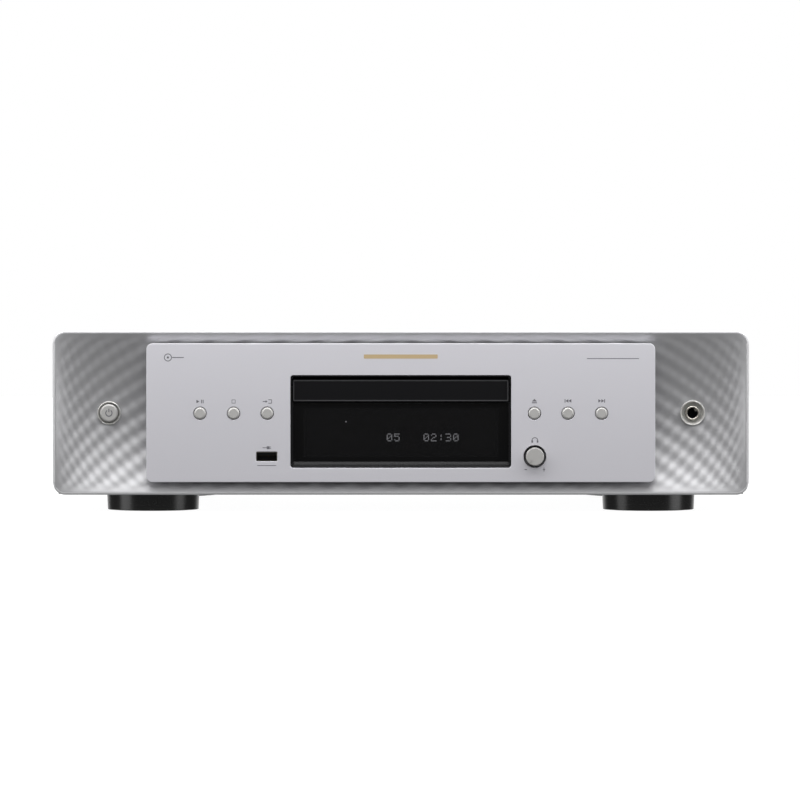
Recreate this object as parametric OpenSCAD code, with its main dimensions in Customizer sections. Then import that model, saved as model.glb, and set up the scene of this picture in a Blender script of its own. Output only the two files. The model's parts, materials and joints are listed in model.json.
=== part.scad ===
// A full-width CD player: dished front with a floating plate, tray loader, disc drive and casing.
// X to the right, Y to the back, Z up; the origin is on the floor under the middle of the whole player.

/* [Casing] */
// Width over the front bezel
body_w = 442; // [442:1:446]
// Height of the floor gap under the casing
foot_h = 11; // [11:0.5:12]
// Height of the front bezel
bezel_h = 104.2; // [104.2:0.1:106]
// Radius of the bezel's outer corners
bezel_r = 8; // [6:0.5:10]
// Thickness of the sheet metal
sheet_t = 1.2; // [1:0.1:1.2]

/* [Front] */
// Depth of the dish at its middle
dish_depth = 11; // [10:0.5:11]
// Width of the flat rim around the dish
rim_w = 1.6; // [1.2:0.1:2]
// Width of the floating plate
plate_w = 322.6; // [320:0.2:324]
// Height of the floating plate
plate_h = 88; // [86:0.5:89]
// Thickness of the floating plate
plate_t = 4; // [3:0.5:4]
// Radius of the plate's corners
plate_r = 3.8; // [3:0.1:5]
// Diameter of a round button cap
cap_d = 7.5; // [7:0.1:7.8]
// Diameter of the power button's cap
power_cap_d = 11.4; // [11:0.1:11.4]
// Diameter of the level knob
knob_d = 11.4; // [10:0.1:12]
// Distance between neighbouring buttons
button_pitch = 21.3; // [20:0.1:22]

/* [Loader] */
// Width of the disc tray
tray_w = 134; // [130:1:134]
// Diameter of the recess for a full-size disc
disc_recess_d = 121; // [121:0.5:122]
// Diameter of the recess for a small disc
small_recess_d = 81; // [81:0.5:82]
// Depth of the disc recess
disc_recess_h = 4.5; // [4.3:0.1:4.5]
// Diameter of the turntable
turntable_d = 30; // [28:1:30]

/* [Sockets] */
// Diameter of the headphone socket's hole
jack_hole_d = 6.5; // [6.5:0.05:6.6]
// Diameter of a phono socket's sleeve
phono_d = 8.3; // [8.2:0.05:8.4]

/* [Hidden] */
$fn = 64;
eps = 0.01;

// How fast the dish deepens near its two sides
dish_run = 14;
dish_side = 70;

// Planes from front to back
rim_y = -197;
plate_y = -201;
knob_y = -206;
ring_y = -188.5;
bezel_back_y = -183.5;
cover_y = -178;
frame_y = -172;
board_y = -176.4;
stem_y = board_y - 3.2;
rear_y = 190;
floor_z = foot_h + sheet_t;
bezel_mid_z = foot_h + bezel_h / 2;

// The pillars between the bezel and the plate
pillar_x = 148;
pillar_z = 12;
pillar_d = 8;

// The window and the buttons
window_w = 140;
window_h = 58.7;
window_z = 57.55;
window_r = 1.8;
button_z = 62.8;
lower_z = 35.4;
button_x = 106;
side_x = 185.7;
socket_x = 85;
travel = 0.8;
stem_d = 4;
shaft_d = 6;
flange_d = 6.6;
power_ring_d = 14.9;
jack_ring_d = 16;
usb_w = 13.1;
usb_h = 5.7;

// The feet and their pads
foot_x = 159.4;
foot_y = 150;
foot_top_d = 59.4;
foot_low_d = 58.4;
foot_gap = 0.3;
pad_d = 50;
pad_t = 1.8;

// The boards: thickness, and the top and underside of the two large ones
board_t = 1.6;
board_low = 22;
board_top = board_low + board_t;

// The cover
cover_w = 440;
cover_top_z = 114.4;
chassis_half = 218.5;

// The tray's slot and the lens behind the window
slot_low = 69.6;
slot_high = 84.8;
slot_half = 69.2;
lens_half = 68.4;
lens_low = 32.2;
ledge_y = -194.9;

// The disc drive
spindle_y = -125;
tray_low = 70;
tray_high = 79.5;
tray_floor = tray_high - disc_recess_h;
tray_back = -15;
pivot_y = -55;
pivot_z = 62;
deck_z = 60;
deck_t = 3;
rod_x = 24;
rod_z = 66;

// The loader's gears: tray rack, drive gear, pulley gear and belt
rack_module = 1;
pinion_teeth = 20;
wheel_module = 0.8;
wheel_teeth = 44;
pulley_teeth = 16;
drive_x = 47;
gear_y = -163;
pitch_x = drive_x + rack_module * pinion_teeth / 2;
gear_gap = wheel_module * (wheel_teeth + pulley_teeth) / 2;
pulley_angle = 195;
pulley_x = drive_x + gear_gap * cos(pulley_angle);
pulley_y = gear_y + gear_gap * sin(pulley_angle);
pulley_r = 10;
motor_x = -30;
motor_pulley_r = 3;
belt_gap = 0.3;
belt_t = 1.2;

// The cam slot: the traverse turns about its pivot, so the pin drops as its arm swings down
cam_pin_x = -8;
cam_run = 20;
cam_turn = 4.9;
cam_arm = 94;
cam_pin_drop = 4;
cam_steps = 24;

// The sled's gears
sled_module = 0.5;
sled_wheel_teeth = 24;
sled_small_teeth = 14;
sled_pinion_teeth = 12;
sled_x = -33.5;
sled_y = -88;
sled_gap = sled_module * (sled_wheel_teeth + sled_pinion_teeth) / 2;
sled_rack_x = sled_x + sled_module * sled_small_teeth / 2;

// Rear sockets
mains_x = -170;
mains_z = 46;
optical_x = 60;
optical_z = 40;
phono_x = [88, 116, 138];
phono_z = 40;

// ---- shared shapes ----

// A rod along Y from y0 to y1
module rod_y(x, z, d, y0, y1) {
    translate([x, y1, z]) rotate([90, 0, 0]) cylinder(d = d, h = y1 - y0);
}

// A box given by its lowest and highest corners
module block(low, high) {
    translate(low) cube(high - low);
}

// The same box, mirrored to the left when side is -1
module mirrored_block(side, low, high) {
    scale([side, 1, 1]) block(low, high);
}

// A flat rectangle with round corners, centred
module round_rect(w, h, r) {
    square([w - 2 * r, h], center = true);
    square([w, h - 2 * r], center = true);
    for (i = [-1, 1], j = [-1, 1])
        translate([i * (w / 2 - r), j * (h / 2 - r)]) circle(r = r);
}

// A round-cornered slab that stands in the XZ plane from y0 to y1, centred at height z
module slab_y(w, h, r, y0, y1, z) {
    translate([0, y1, z]) rotate([90, 0, 0]) linear_extrude(y1 - y0) round_rect(w, h, r);
}

// Depth of the dish at a distance from the rim, across and up
function dish_across(s) = dish_depth * (1 - exp(-max(s, 0) / dish_run));
function dish_up(t) = dish_depth * (1 - pow(abs(t), 2));

// The hollow of the dish: two profiles, one along X and one along Z, that cross
module dish_hollow() {
    half_w = body_w / 2 - rim_w;
    half_h = bezel_h / 2 - rim_w;
    steps = 20;
    up = [for (i = [-steps:steps]) [rim_y + dish_up(i / steps), half_h * i / steps]];
    inward = [for (i = [0:steps]) dish_side * pow(i / steps, 2)];
    across = [for (s = inward) [s - half_w, rim_y + dish_across(s)]];
    mirrored = [for (i = [steps:-1:0]) [-across[i][0], across[i][1]]];
    intersection() {
        translate([-half_w, 0, bezel_mid_z]) rotate([90, 0, 90]) linear_extrude(2 * half_w)
            polygon(concat([[rim_y - 1, -half_h]], up, [[rim_y - 1, half_h]]));
        translate([0, 0, foot_h]) linear_extrude(bezel_h)
            polygon(concat([[-half_w, rim_y - 1]], across, mirrored, [[half_w, rim_y - 1]]));
        slab_y(2 * half_w, 2 * half_h, bezel_r - rim_w, rim_y - 1, bezel_back_y, bezel_mid_z);
    }
}

// The room that the USB socket takes, with a gap all round it
module usb_opening(gap, y0, y1) {
    half_w = usb_w / 2 + gap;
    half_h = usb_h / 2 + gap;
    block([-socket_x - half_w, y0, lower_z - half_h], [-socket_x + half_w, y1, lower_z + half_h]);
}

// The places of the six round buttons on the plate
module at_buttons() {
    for (side = [-1, 1], i = [-1:1])
        translate([side * button_x + i * button_pitch, 0, button_z]) children();
}

// The involute outline of a gear: roll angle in degrees against radius
function roll(base_r, r) = sqrt(pow(r / base_r, 2) - 1) * 180 / PI;
function involute_angle(base_r, r) = roll(base_r, r) - atan(roll(base_r, r) * PI / 180);

// A spur gear outline with a little backlash; a tooth points along +X
module gear_2d(m, teeth, play = 0.12, tip = 0.8) {
    pitch_r = m * teeth / 2;
    base_r = pitch_r * cos(20);
    tip_r = pitch_r + tip * m;
    root_r = pitch_r - 1.15 * m;
    half = 90 / teeth - play / pitch_r * 180 / PI / 2 + involute_angle(base_r, pitch_r);
    start_r = max(base_r, root_r);
    steps = 5;
    flank = [for (i = [0:steps]) start_r + (tip_r - start_r) * i / steps];
    polygon([for (k = [0:teeth - 1], p = concat(
        [[root_r, -half]],
        [for (r = flank) [r, -half + involute_angle(base_r, r)]],
        [for (i = [steps:-1:0]) [flank[i], half - involute_angle(base_r, flank[i])]],
        [[root_r, half]]))
        [p[0] * cos(p[1] + 360 * k / teeth), p[0] * sin(p[1] + 360 * k / teeth)]]);
}

// A straight rack outline along +Y: tooth tips towards -X, pitch line at x = 0
module rack_2d(m, count, back, play = 0.12, tip = 0.8) {
    pitch = PI * m;
    slope = tan(20);
    half = pitch / 4 - play / 2;
    depth = 1.15 * m;
    polygon(concat([[back, 0], [back, count * pitch]],
        [for (k = [count - 1:-1:0], p = [
            [depth, half + depth * slope], [-tip * m, half - tip * m * slope],
            [-tip * m, -half + tip * m * slope], [depth, -half - depth * slope]])
            [p[0], (k + 0.5) * pitch + p[1]]]));
}

// ---- front ----

module front_bezel() color("silver") difference() {
    slab_y(body_w, bezel_h, bezel_r, rim_y, cover_y, bezel_mid_z);
    dish_hollow();
    slab_y(body_w - 6, bezel_h - 6, bezel_r - 3, bezel_back_y, cover_y + 1, bezel_mid_z);
    slab_y(window_w, window_h, window_r, rim_y, cover_y, window_z);
    at_buttons() rod_y(0, 0, stem_d + 1, rim_y, cover_y);
    rod_y(-side_x, button_z, power_ring_d, rim_y, cover_y);
    rod_y(side_x, button_z, jack_ring_d, rim_y, cover_y);
    rod_y(socket_x, lower_z, shaft_d + 1.5, rim_y, cover_y);
    usb_opening(0.35, rim_y, cover_y);
}

// Four pillars hold the plate clear of the dish
module front_plate() color("gainsboro") difference() {
    pillar_back = rim_y + dish_up((pillar_z + pillar_d / 2) / (bezel_h / 2 - rim_w));
    union() {
        slab_y(plate_w, plate_h, plate_r, plate_y, plate_y + plate_t, bezel_mid_z);
        for (x = [-pillar_x, pillar_x], z = [-pillar_z, pillar_z])
            rod_y(x, bezel_mid_z + z, pillar_d, plate_y + plate_t, pillar_back);
    }
    slab_y(window_w, window_h, window_r, plate_y - 1, plate_y + plate_t + 1, window_z);
    at_buttons() rod_y(0, 0, cap_d + 0.8, plate_y - 1, rim_y + 1);
    rod_y(socket_x, lower_z, knob_d + 3, plate_y - 1, rim_y + 1);
    usb_opening(0.2, plate_y - 1, rim_y + 1);
}

// The sloped hollow in front of the lens, as a profile along X
module surround_mouth() {
    translate([-lens_half, 0, 0]) rotate([90, 0, 90]) linear_extrude(2 * lens_half)
        polygon([[plate_y, 28.9], [-197, lens_low], [ledge_y, lens_low], [ledge_y, slot_high],
            [-197, slot_high], [plate_y, 86.3]]);
}

module window_surround() color("black") difference() {
    slab_y(window_w - 0.2, window_h - 0.2, window_r - 0.1, plate_y + 0.2, -184, window_z);
    surround_mouth();
    block([-slot_half, plate_y, slot_low], [slot_half, -180, slot_high]);
    block([-62, plate_y, 35], [62, -180, 66]);
}

module display_window() color([0.05, 0.05, 0.06, 0.6])
    block([-lens_half + 0.2, ledge_y - 2, lens_low + 0.2], [lens_half - 0.2, ledge_y, slot_low - 0.4]);

module tray_door() color("dimgray") difference() {
    block([-68.8, -199, 70], [68.8, -195.5, 84.4]);
    block([-66, -197, 71], [66, -195.4, 71.6]);
}

// A round button: cap, stem and the flange that stops it behind the bezel
module push_button(x) {
    rod_y(x, button_z, cap_d, plate_y - travel, -191);
    rod_y(x, button_z, stem_d, -191, stem_y);
    rod_y(x, button_z, flange_d, bezel_back_y + 0.6, bezel_back_y + 1.6);
}

module power_button() color("silver") {
    rod_y(-side_x, button_z, power_cap_d, -189.5, -184);
    rod_y(-side_x, button_z, stem_d, -184, stem_y);
    rod_y(-side_x, button_z, 13.6, bezel_back_y + 0.7, bezel_back_y + 1.7);
}

module power_button_ring() color("silver") difference() {
    rod_y(-side_x, button_z, power_ring_d, ring_y, bezel_back_y);
    rod_y(-side_x, button_z, power_cap_d + 0.6, -190, bezel_back_y + 1);
}

module play_button() color("silver") push_button(-button_x - button_pitch);
module stop_button() color("silver") push_button(-button_x);
module input_button() color("silver") push_button(-button_x + button_pitch);
module open_close_button() color("silver") push_button(button_x - button_pitch);
module previous_button() color("silver") push_button(button_x);
module next_button() color("silver") push_button(button_x + button_pitch);

module level_knob() color("silver") difference() {
    union() {
        rod_y(socket_x, lower_z, knob_d, knob_y, -198);
        rod_y(socket_x, lower_z, shaft_d, -198, -178);
    }
    translate([socket_x, knob_y, lower_z]) rotate([0, 215, 0]) block([-0.4, -1, 3], [0.4, 0.5, 7]);
}

module level_potentiometer() color("darkslategray") difference() {
    block([socket_x - 6, bezel_back_y + 0.2, lower_z - 6], [socket_x + 6, board_y, lower_z + 6]);
    rod_y(socket_x, lower_z, shaft_d + 0.1, -190, -177.5);
}

module headphone_jack() color("dimgray") difference() {
    union() {
        rod_y(side_x, button_z, 9.4, -187.8, -183);
        block([side_x - 8, -183, button_z - 8], [side_x + 8, -156, button_z + 8]);
    }
    rod_y(side_x, button_z, jack_hole_d, -189, -158);
}

module headphone_ring() color("silver") difference() {
    rod_y(side_x, button_z, jack_ring_d, ring_y, bezel_back_y);
    rod_y(side_x, button_z, 12.2, -190, bezel_back_y - 1);
    rod_y(side_x, button_z, 9.6, -190, bezel_back_y + 1);
}

module usb_socket() color("silver") difference() {
    usb_opening(0, plate_y + 0.3, -183);
    usb_opening(-0.3, plate_y - 1, -182);
}

module usb_tongue() color("black") {
    block([-socket_x - 5.55, plate_y + 2.5, lower_z + 0.6], [-socket_x + 5.55, -184, lower_z + 2.4]);
    block([-socket_x - 6.25, -185, lower_z - 2.55], [-socket_x + 6.25, -183, lower_z + 2.55]);
    block([-socket_x - 6.55, -183, lower_z - 4], [-socket_x + 6.55, board_y, lower_z + 4]);
}

// ---- casing ----

// Where the screws of the cover sit, and how big all the screws are
cover_screw_y = 130;
cover_screw_z = 24;
screw_d = 4;
head_d = 7.5;
head_h = 2.2;

// The casing's section: square below, so that only the upper corners are round
module shell_2d(inset) {
    translate([0, cover_top_z - 70]) round_rect(cover_w - 2 * inset, 140 - 2 * inset, 7.4 - inset);
}

module top_cover() color("silver") {
    difference() {
        translate([0, rear_y, 0]) rotate([90, 0, 0]) linear_extrude(rear_y - cover_y) difference() {
            shell_2d(0);
            shell_2d(sheet_t);
            translate([-body_w / 2, -50]) square([body_w, 50 + foot_h + 2]);
        }
        cover_screw_places() cylinder(d = screw_d + 0.2, h = 10, center = true);
    }
    difference() {
        block([-200, rear_y - sheet_t, 103.5], [200, rear_y, 113.4 - sheet_t]);
        rear_screw_places() rod_y(0, 0, 4.2, rear_y - 10, rear_y + 5);
    }
}

// Each place turns its +Z outwards
module cover_screw_places() {
    for (side = [-1, 1], y = [-cover_screw_y, cover_screw_y])
        translate([side * cover_w / 2, y, cover_screw_z]) rotate([0, side * 90, 0]) children();
}

module rear_screw_places() {
    for (x = [-180, -60, 60, 180]) translate([x, 0, 108]) children();
    for (x = [-205, -60, 40, 205]) translate([x, 0, 19]) children();
}

module board_posts() {
    for (x = [20, 196], y = [80, 166]) translate([x, y, floor_z]) cylinder(d = 6, h = board_low - floor_z);
    for (x = [-203, -92], y = [-112, 52]) translate([x, y, floor_z]) cylinder(d = 6, h = board_low - floor_z);
}

module bottom_chassis() color("gray") {
    difference() {
        block([-chassis_half, cover_y, foot_h], [chassis_half, rear_y, floor_z]);
        foot_places() translate([0, 0, foot_h - 1]) cylinder(d = screw_d + 0.2, h = 5);
        for (x = [-1, 1], i = [0:9])
            block([x * 120 - 30, 20 + 9 * i, foot_h - 1], [x * 120 + 30, 23 + 9 * i, floor_z + 1]);
    }
    for (side = [-1, 1]) difference() {
        mirrored_block(side, [chassis_half - sheet_t, cover_y, floor_z], [chassis_half, rear_y, 32]);
        cover_screw_places() cylinder(d = screw_d + 0.2, h = 10, center = true);
    }
    difference() {
        block([sheet_t - chassis_half, rear_y - sheet_t, floor_z], [chassis_half - sheet_t, rear_y, 23.4]);
        rear_screw_places() rod_y(0, 0, 4.2, rear_y - 10, rear_y + 5);
    }
    board_posts();
}

module rear_panel() color("silver") difference() {
    block([-219.4, rear_y, foot_h + 0.4], [219.4, rear_y + sheet_t, 113.8]);
    rear_screw_places() rod_y(0, 0, 4.2, rear_y - 10, rear_y + 5);
    block([mains_x - 13.6, rear_y - 1, mains_z - 10.1], [mains_x + 13.6, rear_y + 3, mains_z + 10.1]);
    block([optical_x - 6.6, rear_y - 1, optical_z - 6.6], [optical_x + 6.6, rear_y + 3, optical_z + 6.6]);
    for (x = phono_x) rod_y(x, phono_z, phono_d + 0.4, rear_y - 1, rear_y + 3);
}

// The sub-front carries the boards behind the bezel
module front_frame() color("lightgray") {
    difference() {
        block([-214, frame_y, floor_z], [214, frame_y + sheet_t, 111]);
        block([-79.5, frame_y - 1, 26], [79.5, frame_y + 3, 92]);
        block([side_x - 9, frame_y - 1, button_z - 8.3], [side_x + 9, frame_y + 3, button_z + 9]);
    }
    for (side = [-1, 1], x = [84, 132], z = [48, 71]) rod_y(side * x, z, 5, board_y + board_t, frame_y);
    for (x = [-194, -177]) rod_y(x, 54, 5, board_y + board_t, frame_y);
    block([165, frame_y + sheet_t, 51.7], [206, -130, 53]);
}

module foot_places() {
    for (i = [-1, 1], j = [-1, 1]) translate([i * foot_x, j * foot_y, 0]) children();
}

module feet() color("black") foot_places() difference() {
    translate([0, 0, foot_gap]) cylinder(d1 = foot_low_d, d2 = foot_top_d, h = foot_h - foot_gap, $fn = 96);
    translate([0, 0, -1]) cylinder(d = pad_d, h = 1 + pad_t, $fn = 96);
    cylinder(d = screw_d + 0.2, h = 20);
    cylinder(d = head_d + 1.5, h = 7);
}

module foot_pads() color("dimgray") foot_places() cylinder(d = pad_d, h = pad_t, $fn = 96);

// One pan-head screw: the head sits on z = 0 and the shank goes down
module screw() {
    cylinder(d = head_d, h = head_h);
    translate([0, 0, -6]) cylinder(d = screw_d, h = 6 + eps);
}

module case_screws() color("dimgray") {
    foot_places() translate([0, 0, 7]) rotate([180, 0, 0]) screw();
    cover_screw_places() intersection() {
        screw();
        translate([0, 0, -9]) cylinder(d = 8, h = 9.9);
    }
    rear_screw_places() translate([0, rear_y + sheet_t, 0]) rotate([-90, 0, 0]) screw();
}

// ---- boards and power ----

module display_module() color("darkslategray") block([-60, -189, 36], [60, bezel_back_y, 65.3]);

module display_board() color("darkgreen")
    block([-78.2, bezel_back_y, 29], [78.2, bezel_back_y + board_t, 68]);

module button_boards() color("darkgreen") {
    for (side = [-1, 1]) block([side * 108 - 28, board_y, 27], [side * 108 + 28, board_y + board_t, 75]);
    block([-197, board_y, 51], [-174, board_y + board_t, 75]);
    at_buttons() block([-3, board_y - 2.3, -3], [3, board_y, 3]);
    block([-side_x - 3, board_y - 2.3, button_z - 3], [-side_x + 3, board_y, button_z + 3]);
}

module headphone_board() color("darkgreen") block([172, -168, 53], [200, -136, button_z - 8]);

module main_board() color("darkgreen") {
    block([10, 70, board_low], [205, 176, board_top]);
    block([60, 90, board_top], [84, 114, board_top + 1.8]);
    block([110, 84, board_top], [122, 96, board_top + 1.8]);
    for (x = [140, 152, 164, 176], y = [90, 104, 118]) translate([x, y, board_top]) cylinder(d = 8, h = 12);
}

module power_board() color("darkgreen") block([-210, -120, board_low], [-85, 60, board_top]);

module power_capacitors() color("black")
    for (x = [-130, -105], y = [-20, 8]) translate([x, y, board_top]) cylinder(d = 22, h = 32);

module heat_sink() color("dimgray") {
    block([-190, -64, board_top], [-150, -61, 54]);
    for (i = [0:6]) block([-190 + 6 * i, -61, board_top], [-188.2 + 6 * i, -48, 54]);
}

// Laminated core with two windows; the winding fills them and stands around the middle limb
module transformer_core() color("slategray") difference() {
    block([-190, 95, floor_z], [-124, 125, floor_z + 56]);
    for (x = [-173.5, -140.5]) block([x - 5.5, 90, floor_z + 11], [x + 5.5, 130, floor_z + 45]);
}

module transformer_winding() color("peru") difference() {
    block([-178.8, 84, floor_z + 11.2], [-135.2, 136, floor_z + 44.8]);
    block([-168.2, 94.8, floor_z], [-145.8, 125.2, floor_z + 60]);
}

// ---- loader ----

module loader_frame() color("dimgray") {
    difference() {
        union() {
            block([-75, -181, 52], [75, -40, 55]);
            for (x = [42, -57]) block([x, pivot_y - 5, 55], [x + 4, pivot_y + 5, pivot_z + 5]);
        }
        block([-52, -147.3, 51], [41, -47, 56]);
        translate([-57.5, pivot_y, pivot_z]) rotate([0, 90, 0]) cylinder(d = 4.1, h = 5);
        translate([41.5, pivot_y, pivot_z]) rotate([0, 90, 0]) cylinder(d = 4.1, h = 5);
        translate([motor_x, pulley_y, 50]) cylinder(d = 8, h = 10);
    }
    for (side = [-1, 1]) {
        mirrored_block(side, [70, -181, 55], [73, -40, 82]);
        mirrored_block(side, [64, -181, 67.2], [70, -40, tray_low - 0.3]);
        for (y = [-176, -112, -50])
            mirrored_block(side, [64, y, tray_high + 0.3], [70, y + 8, tray_high + 2]);
        for (y = [-164, -45]) translate([side * 68, y, floor_z]) cylinder(d = 8, h = 52 - floor_z);
    }
    block([-50, -154.6, 55], [20, -152.8, 60]);
    translate([drive_x, gear_y, 54]) cylinder(d = 3, h = 19);
    translate([pulley_x, pulley_y, 54]) cylinder(d = 3, h = 11);
}

module disc_tray() color("dimgray") {
    rack_pitch = PI * rack_module;
    difference() {
        block([-tray_w / 2, -195.5, tray_low], [tray_w / 2, tray_back, tray_high]);
        translate([0, spindle_y, tray_floor]) cylinder(d = disc_recess_d, h = 10, $fn = 128);
        translate([0, spindle_y, tray_floor - 0.8]) cylinder(d = small_recess_d, h = 10, $fn = 128);
        block([-20, spindle_y, tray_low - 1], [20, tray_back + 1, tray_high + 1]);
        translate([0, spindle_y, tray_low - 1]) cylinder(r = 20, h = 12);
        block([35.5, -174.6, tray_low - 1], [60, tray_back + 1, tray_low + 3.6]);
    }
    intersection() {
        translate([pitch_x, gear_y - 4 * rack_pitch, tray_low]) linear_extrude(3.6)
            rack_2d(rack_module, 48, 3);
        block([50, -174.6, tray_low], [60, tray_back, tray_low + 3.6]);
    }
}

module loading_motor() color("silver") {
    translate([motor_x, pulley_y, 28]) cylinder(d = 20, h = 24);
    translate([motor_x, pulley_y, 52]) cylinder(d = 6, h = 3);
    translate([motor_x, pulley_y, 55]) cylinder(d = 2, h = 6.8);
}

// A pulley with a groove; the belt lies in the groove
module grooved(r, low, high, groove_low, groove_high) {
    difference() {
        translate([0, 0, low]) cylinder(r = r + belt_t + 0.6, h = high - low);
        translate([0, 0, groove_low]) difference() {
            cylinder(r = r + 5, h = groove_high - groove_low);
            translate([0, 0, -1]) cylinder(r = r, h = 10);
        }
    }
}

module motor_pulley() color("ivory") translate([motor_x, pulley_y, 0]) difference() {
    grooved(motor_pulley_r, 56, 60.2, 57, 59.2);
    cylinder(d = 2.06, h = 100);
}

module drive_belt() color("black") translate([0, 0, 57.3]) linear_extrude(1.6) difference() {
    hull() {
        translate([motor_x, pulley_y]) circle(r = motor_pulley_r + belt_gap + belt_t);
        translate([pulley_x, pulley_y]) circle(r = pulley_r + belt_gap + belt_t);
    }
    hull() {
        translate([motor_x, pulley_y]) circle(r = motor_pulley_r + belt_gap);
        translate([pulley_x, pulley_y]) circle(r = pulley_r + belt_gap);
    }
}

// The pulley gear's teeth meet the drive gear's wheel at the line of centres
module pulley_gear() color("ivory") translate([pulley_x, pulley_y, 0]) difference() {
    union() {
        grooved(pulley_r, 56, 60.2, 57, 59.2);
        translate([0, 0, 60.2]) linear_extrude(3.6) rotate(pulley_angle - 180)
            gear_2d(wheel_module, pulley_teeth);
    }
    cylinder(d = 3.1, h = 100);
}

module drive_gear() color("ivory") translate([drive_x, gear_y, 0]) difference() {
    union() {
        translate([0, 0, 60.4]) linear_extrude(3) rotate(pulley_angle + 180 / wheel_teeth)
            gear_2d(wheel_module, wheel_teeth);
        translate([0, 0, 63.4]) cylinder(r = 7.5, h = 6.5);
        translate([0, 0, 69.9]) linear_extrude(3.4) gear_2d(rack_module, pinion_teeth);
    }
    cylinder(d = 3.1, h = 100);
}

// The slanted slot lowers the front of the traverse as the slider moves to -X
module cam_slider() color("ivory") difference() {
    block([-26, -152.3, 55.3], [28, -148.8, tray_low - 0.6]);
    for (i = [0:cam_steps]) {
        turn = cam_turn * i / cam_steps;
        drop = cam_arm * sin(turn) + cam_pin_drop * (1 - cos(turn));
        translate([cam_pin_x + cam_run * i / cam_steps, -160, rod_z - drop])
            rotate([-90, 0, 0]) cylinder(r = 2.15, h = 20, $fn = 24);
    }
}

// ---- disc drive ----

module traverse_frame() color("gray") {
    difference() {
        union() {
            block([-48, -145, deck_z], [34, -50, deck_z + deck_t]);
            translate([-56.5, pivot_y, pivot_z]) rotate([0, 90, 0]) cylinder(d = 4, h = 102);
        }
        translate([0, spindle_y, deck_z - 5]) cylinder(d = 12, h = 20);
        block([-16, -108, deck_z - 5], [16, -64, deck_z + 10]);
        translate([sled_x - sled_gap, sled_y, deck_z - 5]) cylinder(d = 3, h = 20);
        block([-60, pivot_y - 20, deck_z - 1], [-49, pivot_y - 2, deck_z + 9]);
    }
    for (side = [-1, 1], y = [-117, -58.4]) difference() {
        block([side * rod_x - 2.5, y, deck_z + deck_t], [side * rod_x + 2.5, y + 3.4, rod_z + 2.5]);
        rod_y(side * rod_x, rod_z, 3, y - 1, y + 5);
    }
    difference() {
        block([-14, -145, deck_z + deck_t], [-2, -141.5, rod_z + 3]);
        block([-20, -150, rod_z + 2.4], [0, -140, rod_z + 4]);
    }
    rod_y(-8, rod_z, 3.6, -152.5, -145);
    translate([sled_x, sled_y, deck_z + deck_t]) cylinder(d = 2, h = 6);
}

module spindle_motor() color("silver") difference() {
    translate([0, spindle_y, 51]) cylinder(d = 24, h = deck_z - 51);
    translate([0, spindle_y, 50]) cylinder(d = 2.06, h = 20);
}

module turntable() color("dimgray") translate([0, spindle_y, 0]) {
    translate([0, 0, 52]) cylinder(d = 2, h = 12);
    translate([0, 0, 63.5]) cylinder(d = 9, h = 10.5);
    translate([0, 0, 74]) cylinder(d = turntable_d, h = 2.5);
    translate([0, 0, 76.5]) cylinder(d1 = 14.8, d2 = 12, h = 2);
}

module guide_rods() color("silver")
    for (side = [-1, 1]) rod_y(side * rod_x, rod_z, 3, -117, -55);

module pickup_body() color("dimgray") {
    difference() {
        union() {
            block([-22, -113, 64], [22, -94, 69.5]);
            block([-9, -112, 69.5], [9, -95, 71.2]);
            for (side = [-1, 1]) block([side * rod_x - 2.5, -113, 63.6], [side * rod_x + 2.5, -94, 68.5]);
        }
        for (side = [-1, 1]) rod_y(side * rod_x, rod_z, 3.06, -120, -90);
        translate([0, -103, 66]) cylinder(d = 8, h = 10);
    }
    block([-28.4, -105, 66.2], [-26.4, -100, 68.5]);
    translate([sled_rack_x, sled_y - 25 * PI * sled_module, 66.2]) linear_extrude(2.3)
        rack_2d(sled_module, 27, 1.8, 0.06);
}

module pickup_lens() color("lightblue") translate([0, -103, 0]) {
    translate([0, 0, 70]) cylinder(d = 7, h = 2);
    translate([0, 0, 72]) intersection() {
        cylinder(d = 5.4, h = 1);
        translate([0, 0, -4.3]) sphere(d = 10.4);
    }
}

module sled_gear() color("ivory") translate([sled_x, sled_y, 0]) difference() {
    union() {
        translate([0, 0, 63.3]) linear_extrude(2) rotate(180 + 180 / sled_wheel_teeth)
            gear_2d(sled_module, sled_wheel_teeth, 0.06);
        translate([0, 0, 65.3]) cylinder(r = 2.7, h = 0.8);
        translate([0, 0, 66.1]) linear_extrude(2.6) gear_2d(sled_module, sled_small_teeth, 0.06);
    }
    cylinder(d = 2.06, h = 100);
}

module sled_motor() color("silver") {
    translate([sled_x - sled_gap, sled_y, 48]) cylinder(d = 14, h = deck_z - 48);
    translate([sled_x - sled_gap, sled_y, deck_z]) cylinder(d = 1.5, h = 5.4);
}

module sled_pinion() color("goldenrod") translate([sled_x - sled_gap, sled_y, 0]) difference() {
    translate([0, 0, 63.3]) linear_extrude(2.2) gear_2d(sled_module, sled_pinion_teeth, 0.06);
    cylinder(d = 1.56, h = 100);
}

module clamp_bridge() color("lightgray") difference() {
    union() {
        block([-73, spindle_y - 16, 83.5], [73, spindle_y + 16, 85.5]);
        for (x = [-73, 70]) block([x, spindle_y - 16, 82], [x + 3, spindle_y + 16, 83.5]);
    }
    translate([0, spindle_y, 80]) cylinder(d = 20.6, h = 10);
}

module clamper() color("dimgray") translate([0, spindle_y, 0]) difference() {
    union() {
        translate([0, 0, 78.3]) cylinder(d = 32, h = 4);
        translate([0, 0, 82.3]) cylinder(d = 18, h = 3.6);
        translate([0, 0, 85.8]) cylinder(d = 27, h = 2);
    }
    translate([0, 0, 78]) cylinder(d = 17, h = 2.8);
}

// ---- rear sockets ----

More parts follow.
